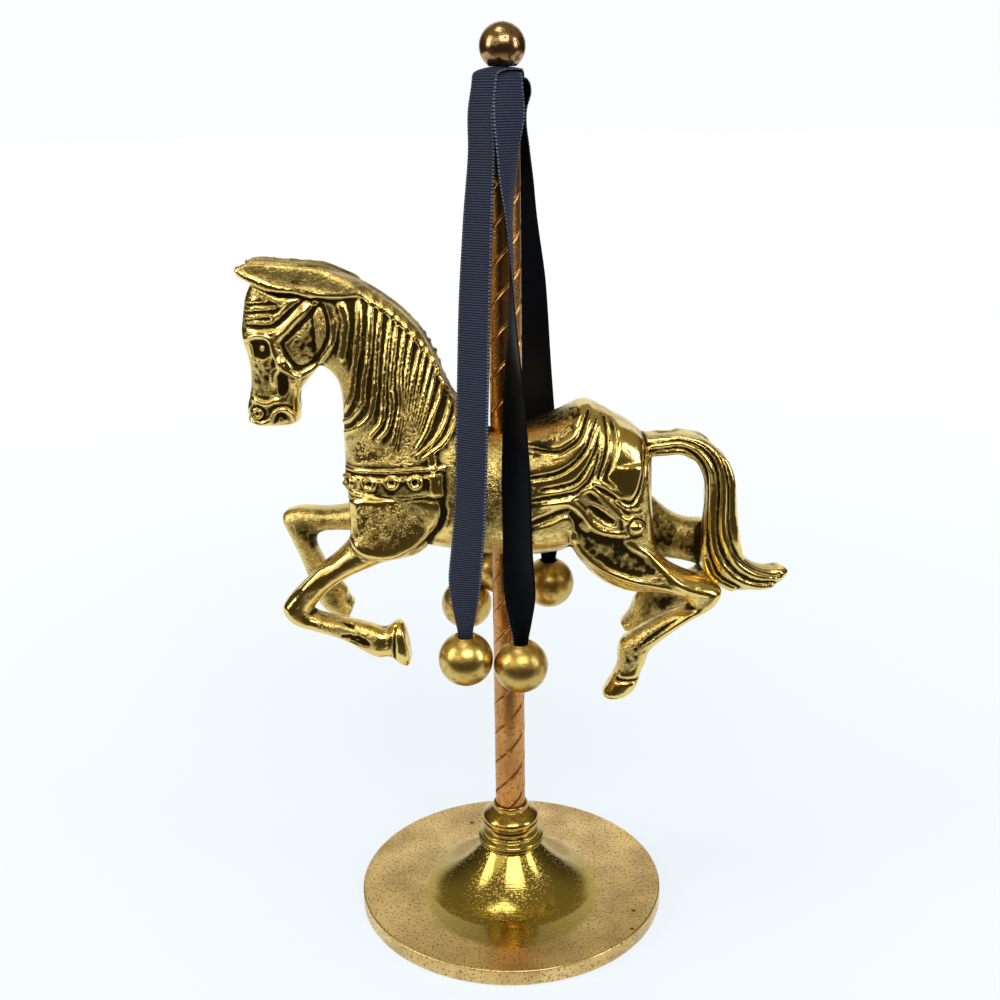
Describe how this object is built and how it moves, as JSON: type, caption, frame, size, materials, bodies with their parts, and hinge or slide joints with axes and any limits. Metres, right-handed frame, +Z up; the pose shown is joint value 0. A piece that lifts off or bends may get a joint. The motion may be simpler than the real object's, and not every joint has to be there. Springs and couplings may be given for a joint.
{
  "type": "carousel horse ornament",
  "caption": "Cast brass carousel horse on a spiral-grooved pole with a round foot, ball finial, and ribbon tails ending in beads.",
  "frame": {"origin": "centre of the foot's underside, on the pole's axis", "axes": "+Z up along the pole, the horse faces -X, its near side is -Y"},
  "size_m": [0.1616, 0.0976, 0.2716],
  "materials": {
    "base_brass": "turned brass, lightly pitted and speckled",
    "pole_brass": "aged brass rod with an engraved spiral",
    "horse_brass": "cast and polished brass, darkened in the recesses",
    "bead_brass": "brushed gold-coloured brass",
    "ribbon": "navy grosgrain ribbon"
  },
  "bodies": {
    "root": {"base": "base_brass", "collar": "horse_brass", "pole": "pole_brass", "horse": "horse_brass", "finial": "horse_brass", "ribbon_1": "ribbon", "ribbon_2": "ribbon", "ribbon_3": "ribbon", "bead_1": "bead_brass", "bead_2": "bead_brass", "bead_3": "bead_brass", "bead_4": "bead_brass", "bead_5": "bead_brass", "bead_6": "bead_brass"}
  },
  "joints": []
}
